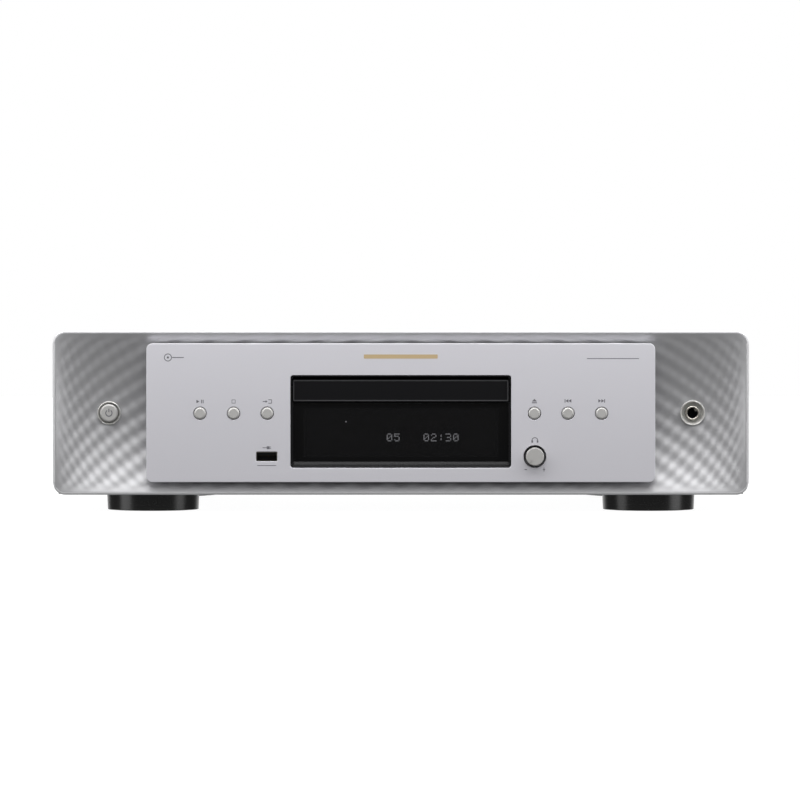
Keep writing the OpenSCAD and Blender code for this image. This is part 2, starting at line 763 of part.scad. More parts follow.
module phono_jacks() color("gray") for (x = phono_x) difference() {
    union() {
        rod_y(x, phono_z, phono_d, rear_y - 6, 206);
        rod_y(x, phono_z, 11.4, rear_y + sheet_t, rear_y + 3);
        block([x - 6, rear_y - 14, board_top], [x + 6, rear_y, phono_z + 8]);
    }
    rod_y(x, phono_z, 3.3, 194, 207);
    difference() {
        rod_y(x, phono_z, 7.3, 203, 207);
        rod_y(x, phono_z, 6.5, 202, 208);
    }
    block([x - 7, rear_y - 20, 20], [x + 7, rear_y - 13, 23.7]);
}

// The axis that the shutter swings about, at the top of the optical socket's mouth
module flap_axis() {
    translate([optical_x, 191.5, optical_z + 3.3]) rotate([0, 90, 0]) children();
}

module optical_socket() color("black") difference() {
    union() {
        block([optical_x - 6.5, 176, board_top], [optical_x + 6.5, rear_y, optical_z + 6.5]);
        block([optical_x - 6.5, rear_y, optical_z - 6.5], [optical_x + 6.5, 193.2, optical_z + 6.5]);
    }
    block([optical_x - 4.2, 179, optical_z - 4.2], [optical_x + 4.2, 194, optical_z + 4.2]);
    flap_axis() cylinder(d = 1.1, h = 10.6, center = true);
}

module optical_flap() color("dimgray") {
    block([optical_x - 3.9, 191, optical_z - 3.9], [optical_x + 3.9, 192, optical_z + 3.3]);
    flap_axis() cylinder(d = 1.2, h = 7.8, center = true);
    flap_axis() cylinder(d = 1, h = 10.2, center = true);
}

module mains_inlet() color("black") difference() {
    union() {
        block([mains_x - 13.5, 166, mains_z - 10], [mains_x + 13.5, 191.2, mains_z + 10]);
        block([mains_x - 15.5, rear_y + sheet_t, mains_z - 12], [mains_x + 15.5, 193.2, mains_z + 12]);
    }
    block([mains_x - 12.2, 175, mains_z - 8.4], [mains_x + 12.2, 194, mains_z + 8.4]);
}

module mains_pins() color("silver") {
    for (x = [-7, 7]) block([mains_x + x - 1, 175, mains_z - 3.5], [mains_x + x + 1, 189, mains_z + 0.5]);
    block([mains_x - 1, 175, mains_z + 0.5], [mains_x + 1, 189, mains_z + 4.5]);
}

front_bezel();
front_plate();
window_surround();
display_window();
tray_door();
top_cover();
bottom_chassis();
rear_panel();
front_frame();
feet();
foot_pads();
power_button();
power_button_ring();
play_button();
stop_button();
input_button();
open_close_button();
previous_button();
next_button();
level_knob();
level_potentiometer();
headphone_jack();
headphone_ring();
usb_socket();
usb_tongue();
display_module();
display_board();
button_boards();
headphone_board();
main_board();
power_board();
power_capacitors();
heat_sink();
transformer_core();
transformer_winding();
loader_frame();
disc_tray();
loading_motor();
motor_pulley();
drive_belt();
pulley_gear();
drive_gear();
cam_slider();
traverse_frame();
spindle_motor();
turntable();
guide_rods();
pickup_body();
pickup_lens();
sled_gear();
sled_motor();
sled_pinion();
clamp_bridge();
clamper();
phono_jacks();
optical_socket();
optical_flap();
mains_inlet();
mains_pins();
case_screws();
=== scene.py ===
# %% [markdown]
# # A full-width CD player
# The player is a wide, flat box with a dished silver front. A thick aluminium plate floats in front of the
# dish and carries the buttons, the disc tray's door and a dark display. The mechanical design comes in as a
# fixed frame. The script then dresses every visible part: it rebuilds the ones that need soft edges or
# dimples, and gives the rest a material that looks like what they are made of.

# %% Load the frame
import bpy, bmesh, json, math
from mathutils import Matrix, Vector


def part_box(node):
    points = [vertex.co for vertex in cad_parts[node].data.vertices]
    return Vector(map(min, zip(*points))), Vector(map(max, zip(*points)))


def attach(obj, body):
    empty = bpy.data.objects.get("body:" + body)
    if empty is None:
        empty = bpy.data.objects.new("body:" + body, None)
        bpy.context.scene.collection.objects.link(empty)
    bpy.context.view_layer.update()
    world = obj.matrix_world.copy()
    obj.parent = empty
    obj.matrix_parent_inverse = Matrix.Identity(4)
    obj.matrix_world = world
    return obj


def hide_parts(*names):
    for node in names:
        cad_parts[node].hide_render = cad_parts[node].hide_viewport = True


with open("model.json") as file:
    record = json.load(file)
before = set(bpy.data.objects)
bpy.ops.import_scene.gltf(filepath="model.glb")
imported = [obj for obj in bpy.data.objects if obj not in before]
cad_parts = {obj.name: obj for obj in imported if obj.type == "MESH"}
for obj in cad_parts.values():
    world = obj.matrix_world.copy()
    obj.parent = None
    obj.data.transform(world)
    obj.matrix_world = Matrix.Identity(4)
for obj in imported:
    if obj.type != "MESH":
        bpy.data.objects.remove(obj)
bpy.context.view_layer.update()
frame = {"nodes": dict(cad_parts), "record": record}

MM = 0.001


def edges(node):
    """The lowest and highest corner of a part, in millimetres."""
    low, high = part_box(node)
    return Vector(low) / MM, Vector(high) / MM


# %% [markdown]
# ## Camera
# The player is seen straight on, from far away and a little above the table, so lines stay parallel and the
# lids of the feet don't show. A long lens on a distant camera gives that. Its distance and height come from
# the slight curve of the feet's lower edges, and its focal length from the width that has to fit the
# picture.

# %% Camera
body_low, body_high = edges("front_bezel")
body_w = body_high.x - body_low.x
rim_y = body_low.y
picture_w = body_w / 0.8706
camera_distance = 3200.0
camera_x = -0.5
camera_height = 110.3
aim_height = 71.2
camera_data = bpy.data.cameras.new("camera")
camera = bpy.data.objects.new("camera", camera_data)
bpy.context.scene.collection.objects.link(camera)
camera.location = Vector((camera_x, rim_y - camera_distance, camera_height)) * MM
aim = Vector((camera_x, rim_y, aim_height)) * MM - camera.location
camera.rotation_euler = aim.to_track_quat("-Z", "Y").to_euler()
camera_data.sensor_width = 36
camera_data.lens = 36 * camera_distance / picture_w
bpy.context.scene.camera = camera
print("focal length", round(camera_data.lens, 1), "mm")

# %% [markdown]
# ## Light
# Product pictures of hi-fi are taken with one big soft light above, a dark studio behind the camera and a
# white wall behind the player. The sky here gets steadily brighter from the horizon up, so slopes that face
# up turn bright and slopes that face down stay dark, which is what shows the dish and its dimples. A weak
# glow from below stands for light that comes back from the table. The backdrop itself is plain white from
# every side, which a mix on the kind of ray gives without touching the light. A long soft box close above
# the front makes the plate brighter at its top than at its bottom, and one on each side draws the two
# highlights on every foot.

# %% Studio sky
world = bpy.data.worlds.new("studio")
bpy.context.scene.world = world
world.use_nodes = True
sky_tree = world.node_tree
sky_way = sky_tree.nodes.new("ShaderNodeTexCoord")
sky_parts = sky_tree.nodes.new("ShaderNodeSeparateXYZ")
sky_tree.links.new(sky_way.outputs["Generated"], sky_parts.inputs[0])


def sky_ramp(axis, start, end, low, high):
    """Brightness that rises from low to high as a direction's part along an axis goes from start to end."""
    ramp = sky_tree.nodes.new("ShaderNodeMapRange")
    for name, value in {"From Min": start, "From Max": end, "To Min": low, "To Max": high}.items():
        ramp.inputs[name].default_value = value
    sky_tree.links.new(sky_parts.outputs[axis], ramp.inputs["Value"])
    return ramp.outputs["Result"]


overhead = sky_ramp("Z", -0.05, 0.85, 0.0, 1.5)
behind = sky_ramp("Y", 0.7, 0.97, 0.0, 1.0)
table_bounce = sky_ramp("Z", -0.25, 0.0, 0.26, 0.0)
zenith = sky_ramp("Z", 0.75, 1.0, 0.0, -0.9)
level = overhead
for part in (behind, table_bounce, zenith):
    sky_sum = sky_tree.nodes.new("ShaderNodeMath")
    sky_tree.links.new(level, sky_sum.inputs[0])
    sky_tree.links.new(part, sky_sum.inputs[1])
    level = sky_sum.outputs[0]
ray = sky_tree.nodes.new("ShaderNodeLightPath")
backdrop = sky_tree.nodes.new("ShaderNodeMix")
backdrop.inputs["B"].default_value = 1.0
sky_tree.links.new(ray.outputs["Is Camera Ray"], backdrop.inputs["Factor"])
sky_tree.links.new(level, backdrop.inputs["A"])
sky_tree.links.new(backdrop.outputs["Result"], sky_tree.nodes["Background"].inputs["Strength"])
sky_tree.nodes["Background"].inputs["Color"].default_value = (1.0, 1.0, 1.0, 1.0)
bpy.context.scene.view_settings.view_transform = "Standard"


# %% Soft box
def soft_box(name, place, target, width, height, power):
    """A rectangular area light; place and target are in millimetres, power in watts."""
    data = bpy.data.lights.new(name, "AREA")
    data.shape = "RECTANGLE"
    data.size = width * MM
    data.size_y = height * MM
    data.energy = power
    lamp = bpy.data.objects.new(name, data)
    lamp.location = Vector(place) * MM
    lamp.rotation_euler = ((Vector(target) - Vector(place)) * MM).to_track_quat("-Z", "Y").to_euler()
    lamp.visible_camera = False
    bpy.context.scene.collection.objects.link(lamp)
    return lamp


soft_box("near_box", (0, -350, 330), (0, -200, 90), 1100, 110, 1.9)
for side in (-1, 1):
    soft_box("side_box", (side * 1500, -640, 300), (0, -100, 60), 800, 1100, 4.5)


# %% [markdown]
# ## Tools for materials
# A colour is written as a hex value, as a paint chart gives it, and one function turns it into the linear
# values that the renderer works in. A second small function adds a node with its settings and links, so
# that a material reads from top to bottom like a recipe.

# %% Material tools
def linear(hex_colour):
    """An sRGB hex colour as linear red, green, blue and alpha."""
    out = []
    for i in (0, 2, 4):
        c = int(hex_colour[i:i + 2], 16) / 255
        out.append(c / 12.92 if c <= 0.04045 else ((c + 0.055) / 1.055) ** 2.4)
    return (*out, 1.0)


def add_node(material, kind, settings=None, **inputs):
    """Adds a node. settings are its properties; inputs are values, or (node, socket) pairs to link from."""
    tree = material.node_tree
    made = tree.nodes.new(kind)
    for key, value in (settings or {}).items():
        setattr(made, key, value)
    for key, value in inputs.items():
        name = key.replace("_", " ")
        socket = next(s for s in made.inputs if s.name == name and s.enabled)
        if isinstance(value, tuple) and isinstance(value[0], bpy.types.Node):
            tree.links.new(value[0].outputs[value[1]], socket)
        else:
            socket.default_value = value
    return made


def new_material(name, colour, roughness, metallic=0.0, **shader):
    """A material with its shader; shader inputs are named as on the Principled node."""
    material = bpy.data.materials.new(name)
    material.use_nodes = True
    surface = material.node_tree.nodes["Principled BSDF"]
    surface.inputs["Base Color"].default_value = linear(colour)
    surface.inputs["Roughness"].default_value = roughness
    surface.inputs["Metallic"].default_value = metallic
    for key, value in shader.items():
        surface.inputs[key.replace("_", " ")].default_value = value
    return material, surface


def grain(material, surface, size_mm, depth_mm, roughness=None, detail=2.0):
    """A fine grain: noise of a real size in millimetres as bump and, if asked, as a change of roughness."""
    place = add_node(material, "ShaderNodeTexCoord")
    noise = add_node(material, "ShaderNodeTexNoise", Vector=(place, "Object"), Scale=1 / (size_mm * MM),
                     Detail=detail, Roughness=0.6)
    bump = add_node(material, "ShaderNodeBump", Height=(noise, "Fac"), Strength=1.0, Distance=depth_mm * MM)
    material.node_tree.links.new(bump.outputs["Normal"], surface.inputs["Normal"])
    if roughness:
        spread = add_node(material, "ShaderNodeMapRange", Value=(noise, "Fac"), To_Min=roughness[0],
                          To_Max=roughness[1])
        material.node_tree.links.new(spread.outputs["Result"], surface.inputs["Roughness"])
    return noise


# %% [markdown]
# ## Silver lacquer
# The front moulding is ABS sprayed with a satin silver lacquer. The lacquer holds tiny aluminium flakes, so
# it is part metal: it follows the light like metal but softly, and close up it has a fine sparkle. A mix
# between plastic and metal with a high roughness gives that, and a flake-sized noise changes its brightness
# a little.

# %% Silver lacquer
silver_lacquer, lacquer_surface = new_material("silver_lacquer", "B4B4B6", 0.46, 0.7)
flakes = grain(silver_lacquer, lacquer_surface, 0.35, 0.004, (0.42, 0.5))
tone = add_node(silver_lacquer, "ShaderNodeMix", {"data_type": "RGBA"}, Factor=(flakes, "Fac"))
tone.inputs[6].default_value = linear("AEAEB0")
tone.inputs[7].default_value = linear("BABABC")
silver_lacquer.node_tree.links.new(tone.outputs[2], lacquer_surface.inputs["Base Color"])

# %% [markdown]
# ## Blasted aluminium
# The floating plate is machined from aluminium, blasted with fine glass beads and anodised. Blasting leaves
# thousands of tiny dents about a tenth of a millimetre across, so the metal scatters light evenly and looks
# like frosted silver. They are too fine to show at this size, so the grain is drawn about five times coarser.

# %% Blasted aluminium
blasted_aluminium, blasted_surface = new_material("blasted_aluminium", "DDDCE2", 0.6, 0.6)
beads = grain(blasted_aluminium, blasted_surface, 0.5, 0.006, (0.46, 0.56), 3.0)
frost = add_node(blasted_aluminium, "ShaderNodeMix", {"data_type": "RGBA"}, Factor=(beads, "Fac"))
frost.inputs[6].default_value = linear("D8D7DD")
frost.inputs[7].default_value = linear("E2E1E7")
blasted_aluminium.node_tree.links.new(frost.outputs[2], blasted_surface.inputs["Base Color"])

# %% [markdown]
# ## The other finishes
# The rest are common finishes with typical values: satin anodised caps, gloss and satin
# mouldings, smoked acrylic, powder coat with its orange-peel skin, zinc-plated steel, rubber, solder mask,
# enamelled copper wire, acetal gears and nickel-plated sockets. Two are lighter copies that paint highlights:
# one of the silver lacquer for the rim's front lip, one of the door's black for the door's edges and line.

# %% Plain finishes
def finish(name, colour, roughness, metallic=0.0, size_mm=0.4, depth_mm=0.004, spread=0.05, **shader):
    """A finish with its own fine grain; the roughness wanders by the spread."""
    material, surface = new_material(name, colour, roughness, metallic, **shader)
    grain(material, surface, size_mm, depth_mm, (max(roughness - spread, 0.02), roughness + spread))
    return material


# A lighter copy of the silver lacquer for the front lip of the bezel's rim: a painted highlight, since the
# lip is the same lacquer.
rim_lacquer = finish("rim_lacquer", "D4D4D6", 0.34, 0.35, 0.35, 0.002)
satin_cap = finish("satin_anodised_cap", "B6B5B3", 0.55, 0.4, 0.3, 0.003)
gloss_black_abs = finish("gloss_black_abs", "0E0E10", 0.2, 0.0, 2.0, 0.001, 0.03, IOR=1.53)
door_satin_abs = finish("door_satin_abs", "0E0E10", 0.4, 0.0, 0.3, 0.003, IOR=1.53, Specular_IOR_Level=0.15)
# A lighter grey copy of the door's black moulding for its broken edges and inset line: a painted highlight.
door_edge_abs = finish("door_edge_abs", "3E3E40", 0.35, 0.0, 0.3, 0.003, IOR=1.53)
foot_abs = finish("foot_abs", "0C0C0C", 0.26, 0.0, 0.5, 0.003, IOR=1.53, Specular_IOR_Level=0.75)
satin_ring = finish("satin_ring", "D2D1CE", 0.4, 0.6, 0.3, 0.002)
satin_black_abs = finish("satin_black_abs", "0C0C0C", 0.3, 0.0, 0.5, 0.004, IOR=1.53, Specular_IOR_Level=0.3)
grained_black_abs = finish("grained_black_abs", "202022", 0.55, 0.0, 0.8, 0.02, IOR=1.53)
loader_plastic = finish("glass_filled_abs", "2B2B2E", 0.5, 0.0, 0.6, 0.012, IOR=1.54)
powder_coat = finish("silver_powder_coat", "A2A2A4", 0.5, 0.35, 0.9, 0.012)
zinc_steel = finish("zinc_plated_steel", "9A9CA0", 0.36, 1.0, 1.5, 0.004, 0.09)
spring_steel = finish("ground_steel", "B8BABD", 0.22, 1.0, 0.3, 0.002)
black_zinc = finish("black_zinc", "3A3A3E", 0.35, 1.0, 0.4, 0.003)
nickel_plate = finish("nickel_plate", "C9C5BC", 0.2, 1.0, 0.5, 0.002)
gold_plate = finish("gold_plate", "D8A84A", 0.22, 1.0, 0.3, 0.002)
turned_brass = finish("turned_brass", "C8A050", 0.28, 1.0, 0.3, 0.002)
foot_rubber = finish("foot_rubber", "1A1A1A", 0.85, 0.0, 0.7, 0.03, IOR=1.52)
belt_rubber = finish("belt_rubber", "121212", 0.7, 0.0, 0.4, 0.01, IOR=1.52)
solder_mask = finish("solder_mask", "0E4A26", 0.32, 0.0, 1.2, 0.01, IOR=1.55)
capacitor_sleeve = finish("capacitor_sleeve", "14141C", 0.28, 0.0, 3.0, 0.004, IOR=1.5)
black_anodised = finish("black_anodised", "18181A", 0.42, 0.8, 0.4, 0.004)
acetal = finish("acetal", "E6E0CC", 0.38, 0.0, 0.6, 0.005, IOR=1.48)
enamelled_copper = finish("enamelled_copper", "B0602A", 0.3, 0.9, 0.5, 0.01)
varnished_core = finish("varnished_laminations", "4A4744", 0.45, 0.6, 0.5, 0.02)
display_face = finish("display_face", "060708", 0.2, 0.0, 2.0, 0.001, 0.03, IOR=1.5)
pickup_glass = finish("coated_lens", "7F9FBF", 0.05, 0.0, 2.0, 0.0005, 0.02, IOR=1.5, Transmission_Weight=0.7)
white_abs = finish("white_abs", "DEDCD6", 0.35, 0.0, 0.5, 0.004, IOR=1.53)
red_abs = finish("red_abs", "A01818", 0.35, 0.0, 0.5, 0.004, IOR=1.53)
orange_abs = finish("orange_abs", "C25A10", 0.35, 0.0, 0.5, 0.004, IOR=1.53)
grey_ink = finish("grey_ink", "66656B", 0.6, 0.0, 0.3, 0.002)
gold_foil = finish("gold_foil", "BCA680", 0.45, 0.2, 0.3, 0.002)

smoked_acrylic = finish("smoked_acrylic", "3A3A3C", 0.04, 0.0, 3.0, 0.0004, 0.01, IOR=1.49,
                        Transmission_Weight=0.92)
digit_glow, glow_surface = new_material("digit_glow", "D8DEE2", 0.5, 0.0, Emission_Strength=6.0)
glow_surface.inputs["Emission Color"].default_value = linear("E2E2E2")
glow_noise = add_node(digit_glow, "ShaderNodeTexNoise", Scale=900.0)
glow_tint = add_node(digit_glow, "ShaderNodeMix", {"data_type": "RGBA"}, Factor=(glow_noise, "Fac"))
glow_tint.inputs[6].default_value = linear("D6D6D6")
glow_tint.inputs[7].default_value = linear("ECECEA")
digit_glow.node_tree.links.new(glow_tint.outputs[2], glow_surface.inputs["Emission Color"])
print("materials:", len(bpy.data.materials))

# %% [markdown]
# ## Tools for shapes
# Most visible parts are one of three things: a turned part, which is a profile spun about its axis; a plate
# cut to an outline with holes, whose edges are broken by a small bevel; or a moulding, which is a row of
# outlines joined by a skin. One helper makes each, and every part then rides on its own body of the
# mechanism.

# %% Finding bodies and keeping pieces
bodies = frame["record"]["behaviour"]["bodies"]
body_of_node = {node: body for body, nodes in bodies.items() for node in nodes}


def keep(name, mesh, material, node, replaces=(), smooth=50, even=True):
    """Makes the mesh a piece that rides on the body of a part and hides the parts that it replaces."""
    piece = bpy.data.objects.new(name, mesh)
    bpy.context.scene.collection.objects.link(piece)
    mesh.materials.clear()
    mesh.materials.append(material)
    mesh.shade_smooth()
    mesh.set_sharp_from_angle(angle=math.radians(smooth))
    if even:
        piece.modifiers.new("even_shading", "WEIGHTED_NORMAL").keep_sharp = True
    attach(piece, body_of_node[node])
    if replaces:
        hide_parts(*replaces)
    return piece


def solid(vertices, faces):
    """A mesh from millimetre points, with its normals turned outwards."""
    mesh = bpy.data.meshes.new("solid")
    mesh.from_pydata([tuple(Vector(v) * MM) for v in vertices], [], faces)
    work = bmesh.new()
    work.from_mesh(mesh)
    bmesh.ops.remove_doubles(work, verts=work.verts, dist=1e-7)
    bmesh.ops.recalc_face_normals(work, faces=work.faces)
    work.to_mesh(mesh)
    work.free()
    return mesh


def skin(loops, ends=True):
    """Joins loops of equal length; the ends are closed with a face, or the last loop joins the first."""
    count = len(loops[0])
    points = [p for loop in loops for p in loop]
    rows = len(loops) if not ends else len(loops) - 1
    faces = [(r * count + i, r * count + (i + 1) % count, (r + 1) % len(loops) * count + (i + 1) % count,
              (r + 1) % len(loops) * count + i) for r in range(rows) for i in range(count)]
    if ends:
        faces += [tuple(range(count)), tuple(range((len(loops) - 1) * count, len(loops) * count))]
    return solid(points, faces)


def turned(profile, centre, along="Y", steps=72, closed=False):
    """Spins (radius, distance) pairs about an axis through centre; distances run along +Y or +Z."""
    loops = []
    for radius, far in profile:
        ring = []
        for i in range(steps):
            a, b = radius * math.cos(math.tau * i / steps), radius * math.sin(math.tau * i / steps)
            ring.append(Vector(centre) + (Vector((a, far, b)) if along == "Y" else Vector((a, b, far))))
        loops.append(ring)
    return skin(loops, ends=not closed)


def outline(w, h, r, x=0.0, z=0.0, steps=8):
    """The points of a rectangle with round corners, in the plane of the front."""
    points = []
    for turn, (sx, sz) in enumerate(((1, 1), (-1, 1), (-1, -1), (1, -1))):
        for i in range(steps + 1):
            a = math.pi / 2 * (turn + i / steps)
            points.append((x + sx * (w / 2 - r) + r * math.cos(a), z + sz * (h / 2 - r) + r * math.sin(a)))
    return points


def circle(x, z, r, steps=48):
    """The points of a circle in the plane of the front."""
    return [(x + r * math.cos(math.tau * i / steps), z + r * math.sin(math.tau * i / steps))
            for i in range(steps)]


def box_mesh(low, high, edge=0.0):
    """A box between two corners in millimetres, with its edges broken if asked."""
    low, high = Vector(low), Vector(high)
    work = bmesh.new()
    place = Matrix.Translation((low + high) / 2 * MM) @ Matrix.Diagonal((*((high - low) * MM), 1))
    bmesh.ops.create_cube(work, size=1, matrix=place)
    if edge:
        bmesh.ops.bevel(work, geom=work.edges[:], offset=edge * MM, segments=2, affect="EDGES", profile=0.6)
    mesh = bpy.data.meshes.new("box")
    work.to_mesh(mesh)
    work.free()
    return mesh


def merged(*meshes):
    """Several meshes as one."""
    work = bmesh.new()
    for mesh in meshes:
        work.from_mesh(mesh)
    out = bpy.data.meshes.new("merged")
    work.to_mesh(out)
    work.free()
    return out


def plate(outlines, front_y, thickness, edge=0.0):
    """A plate cut to the first outline, with the others as holes; front_y is its front face."""
    curve = bpy.data.curves.new("plate", "CURVE")
    curve.dimensions = "2D"
    curve.fill_mode = "BOTH"
    curve.extrude = (thickness / 2 - edge) * MM
    curve.bevel_depth = edge * MM
    curve.bevel_resolution = 2
    curve.offset = -edge * MM
    for number, points in enumerate(outlines):
        spline = curve.splines.new("POLY")
        spline.points.add(len(points) - 1)
        ordered = points if number == 0 else points[::-1]
        for at, (x, z) in zip(spline.points, ordered):
            at.co = (x * MM, z * MM, 0, 1)
        spline.use_cyclic_u = True
    maker = bpy.data.objects.new("plate", curve)
    bpy.context.scene.collection.objects.link(maker)
    bpy.context.view_layer.update()
    mesh = bpy.data.meshes.new_from_object(maker.evaluated_get(bpy.context.evaluated_depsgraph_get()))
    bpy.data.objects.remove(maker)
    upright = Matrix.Rotation(math.pi / 2, 4, "X")
    mesh.transform(Matrix.Translation((0, (front_y + thickness / 2) * MM, 0)) @ upright)
    work = bmesh.new()
    work.from_mesh(mesh)
    bmesh.ops.remove_doubles(work, verts=work.verts, dist=1e-6)
    bmesh.ops.recalc_face_normals(work, faces=work.faces)
    work.to_mesh(mesh)
    work.free()
    return mesh


def cut(mesh, *tools):
    """Cuts the tools' shapes out of a closed mesh."""
    pair = [bpy.data.objects.new("cut", mesh), bpy.data.objects.new("tool", merged(*tools))]
    for item in pair:
        bpy.context.scene.collection.objects.link(item)
    saw = pair[0].modifiers.new("cut", "BOOLEAN")
    saw.operation = "DIFFERENCE"
    saw.solver = "MANIFOLD"
    saw.object = pair[1]
    bpy.context.view_layer.update()
    out = bpy.data.meshes.new_from_object(pair[0].evaluated_get(bpy.context.evaluated_depsgraph_get()))
    for item in pair:
        bpy.data.objects.remove(item)
    return out


def softened(node, width, angle=40, second=-1):
    """A copy of a part's mesh with small bevels; they may wear the piece's second material."""
    work = bmesh.new()
    work.from_mesh(frame["nodes"][node].data)
    bmesh.ops.remove_doubles(work, verts=work.verts, dist=2e-6)
    bmesh.ops.dissolve_limit(work, angle_limit=math.radians(1), verts=work.verts, edges=work.edges)
    for face in work.faces:
        face.material_index = 0
    sharp = [e for e in work.edges if len(e.link_faces) == 2 and e.calc_face_angle(0) > math.radians(angle)]
    bmesh.ops.bevel(work, geom=sharp, offset=width * MM, segments=2, affect="EDGES", profile=0.6,
                    clamp_overlap=True, material=second)
    mesh = bpy.data.meshes.new(node)
    work.to_mesh(mesh)
    work.free()
    return mesh


# %% [markdown]
# ## The dimpled dish
# The front moulding is a shallow bowl, as wide and high as the player, inside a thin rim whose front lip
# wears a lighter copy of the lacquer as a painted highlight. Its surface is covered with soft dimples that
# run in two slanted rows, mirrored left and right. The bowl could be a plain plane with a bump map, but its
# edge against the light would stay straight, so every dimple is real geometry. The bowl's depth is one curve
# across times one curve up. The dimples are the sum of two waves, one along steep rows and one, half as
# strong and twice as dense, along shallow rows. They crowd together near the rim, where the bowl turns, and
# fade out at the lip.

# %% The dish as a formula
rim_w = 1.6
rim_round = 1.1
dish_half_w = body_w / 2 - rim_w
dish_half_h = (body_high.z - body_low.z) / 2 - rim_w
dish_mid_z = (body_high.z + body_low.z) / 2
dish_r = 8.0 - rim_w
dish_depth = 11.0
dish_run = 14.0
wave_height = 0.3
edge_fade = 7.0


def row_count(s):
    """How many rows of dimples lie between the side rim and a distance s from it: they crowd near the rim."""
    return 0.0429 * s + 2.29 * (1 - math.exp(-s / 27.2))


def dimple(x, z):
    """Height of the dimples at a point of the front, positive towards the back."""
    s = dish_half_w - abs(x)
    up = z - dish_mid_z
    steep = row_count(s) - 0.0866 * up - 0.00016 * up * up - 0.34
    shallow = 2 * row_count(s) + 0.0853 * up - 0.00037 * up * up + 0.28
    wave = 0.66 * math.cos(math.tau * steep) + 0.34 * math.cos(math.tau * shallow)
    near_edge = min(s / edge_fade, (dish_half_h - abs(up)) / edge_fade, 1.0)
    return wave_height * wave * near_edge * near_edge * (3 - 2 * near_edge)


def half_height(x):
    """Half the height of the dish at a distance from the middle: it shrinks in the round corners."""
    over = abs(x) - (dish_half_w - dish_r)
    return dish_half_h if over <= 0 else dish_half_h - dish_r + math.sqrt(max(dish_r ** 2 - over ** 2, 0))


def dish_point(x, t):
    """A point of the dish; t runs from -1 at the lower rim to 1 at the upper rim."""
    z = dish_mid_z + t * half_height(x)
    across = 1 - math.exp(-(dish_half_w - abs(x)) / dish_run)
    return x, rim_y + dish_depth * across * (1 - t * t) + dimple(x, z), z


# %% The dish as a mesh
columns, rows = 440, 110
grid_x = [dish_half_w * math.sin(math.pi / 2 * u) * 0.12 + dish_half_w * u * 0.88
          for u in [2 * i / columns - 1 for i in range(columns + 1)]]
grid_t = [math.sin(math.pi / 2 * v) * 0.25 + v * 0.75 for v in [2 * j / rows - 1 for j in range(rows + 1)]]
points = [dish_point(x, t) for x in grid_x for t in grid_t]
faces = [(i * (rows + 1) + j, i * (rows + 1) + j + 1, (i + 1) * (rows + 1) + j + 1, (i + 1) * (rows + 1) + j)
         for i in range(columns) for j in range(rows)]
border = ([i * (rows + 1) for i in range(columns + 1)]
          + [columns * (rows + 1) + j for j in range(1, rows + 1)]
          + [i * (rows + 1) + rows for i in range(columns - 1, -1, -1)]
          + [j for j in range(rows - 1, 0, -1)])


def outward(x, z):
    """The direction that points away from the dish at its border."""
    corner_x, corner_z = dish_half_w - dish_r, dish_half_h - dish_r
    dx, dz = abs(x) - corner_x, abs(z - dish_mid_z) - corner_z
    way = Vector((max(dx, 0.0), max(dz, 0.0))) if dx > 1e-6 and dz > 1e-6 else Vector((dx > dz, dx <= dz))
    way = way.normalized()
    return math.copysign(way.x, x), math.copysign(way.y, z - dish_mid_z)


# %% The rim, the side walls and the back of the moulding
back_y, pocket_y, wall_t = body_high.y, -183.5, 3.0
rim = [(0.45, rim_y)]
rim += [(rim_w - rim_round + rim_round * math.sin(a), rim_y + rim_round * (1 - math.cos(a)))
        for a in [math.pi / 2 * k / 5 for k in range(6)]]
rim += [(rim_w, back_y - 0.2), (rim_w - 0.2, back_y), (rim_w - wall_t, back_y), (rim_w - wall_t, pocket_y)]
last = border
for offset, y in rim:
    start = len(points)
    for index in border:
        x, _, z = points[index]
        way_x, way_z = outward(x, z)
        points.append((x + way_x * offset, y, z + way_z * offset))
    ring = list(range(start, start + len(border)))
    count = len(ring)
    faces += [(last[i], last[(i + 1) % count], ring[(i + 1) % count], ring[i]) for i in range(count)]
    last = ring
faces.append(tuple(last))
bezel_mesh = solid(points, faces)
deepest = max(p[1] for p in points[:len(grid_x) * len(grid_t)])
print("dish:", len(points), "points, deepest", round(deepest, 2))

# %% Openings in the moulding
window_low, window_high = edges("window_surround")
window_mid = (window_low + window_high) / 2
window_size = window_high - window_low + Vector((0.2, 0, 0.2))
button_nodes = ["play_button", "stop_button", "input_button", "open_close_button", "previous_button",
                "next_button"]


def centre(node):
    """The middle of a part, in millimetres."""
    low, high = edges(node)
    return (low + high) / 2


tools = [plate([outline(window_size.x, window_size.z, 1.8, window_mid.x, window_mid.z)], -199, 24)]
for node, radius in [("power_button_ring", 7.45), ("headphone_ring", 8.0), ("level_knob", 3.75)]:
    tools.append(turned([(radius, -199), (radius, -175)], (centre(node).x, 0, centre(node).z)))
for node in button_nodes:
    tools.append(turned([(2.5, -199), (2.5, -175)], (centre(node).x, 0, centre(node).z), steps=24))
usb = centre("usb_socket")
tools.append(box_mesh((usb.x - 6.9, -199, usb.z - 3.2), (usb.x + 6.9, -175, usb.z + 3.2)))
bezel_mesh = cut(bezel_mesh, *tools)
bezel = keep("bezel_moulding", bezel_mesh, silver_lacquer, "front_bezel", ["front_bezel"],
             smooth=40, even=False)
bezel.data.materials.append(rim_lacquer)
# The faces of the rim's front lip take the lighter copy of the lacquer, which paints a highlight along the
# rim.
for face in bezel.data.polygons:
    x, y, z = face.center / MM
    beyond = abs(z - dish_mid_z) > half_height(min(abs(x), dish_half_w)) - 0.02 or abs(x) > dish_half_w - 0.02
    if beyond and y < rim_y + 2:
        face.material_index = 1
print("bezel:", len(bezel_mesh.polygons), "faces")

# %% [markdown]
# ## The floating plate
# A 4 mm aluminium plate stands on four pillars in front of the dish. Its edge is broken all round, and that
# thin slope catches the light from above as a bright line. It is one outline with a hole for the window,
# each button, the knob and the USB socket, so a flat curve with a bevelled edge makes it in one go.

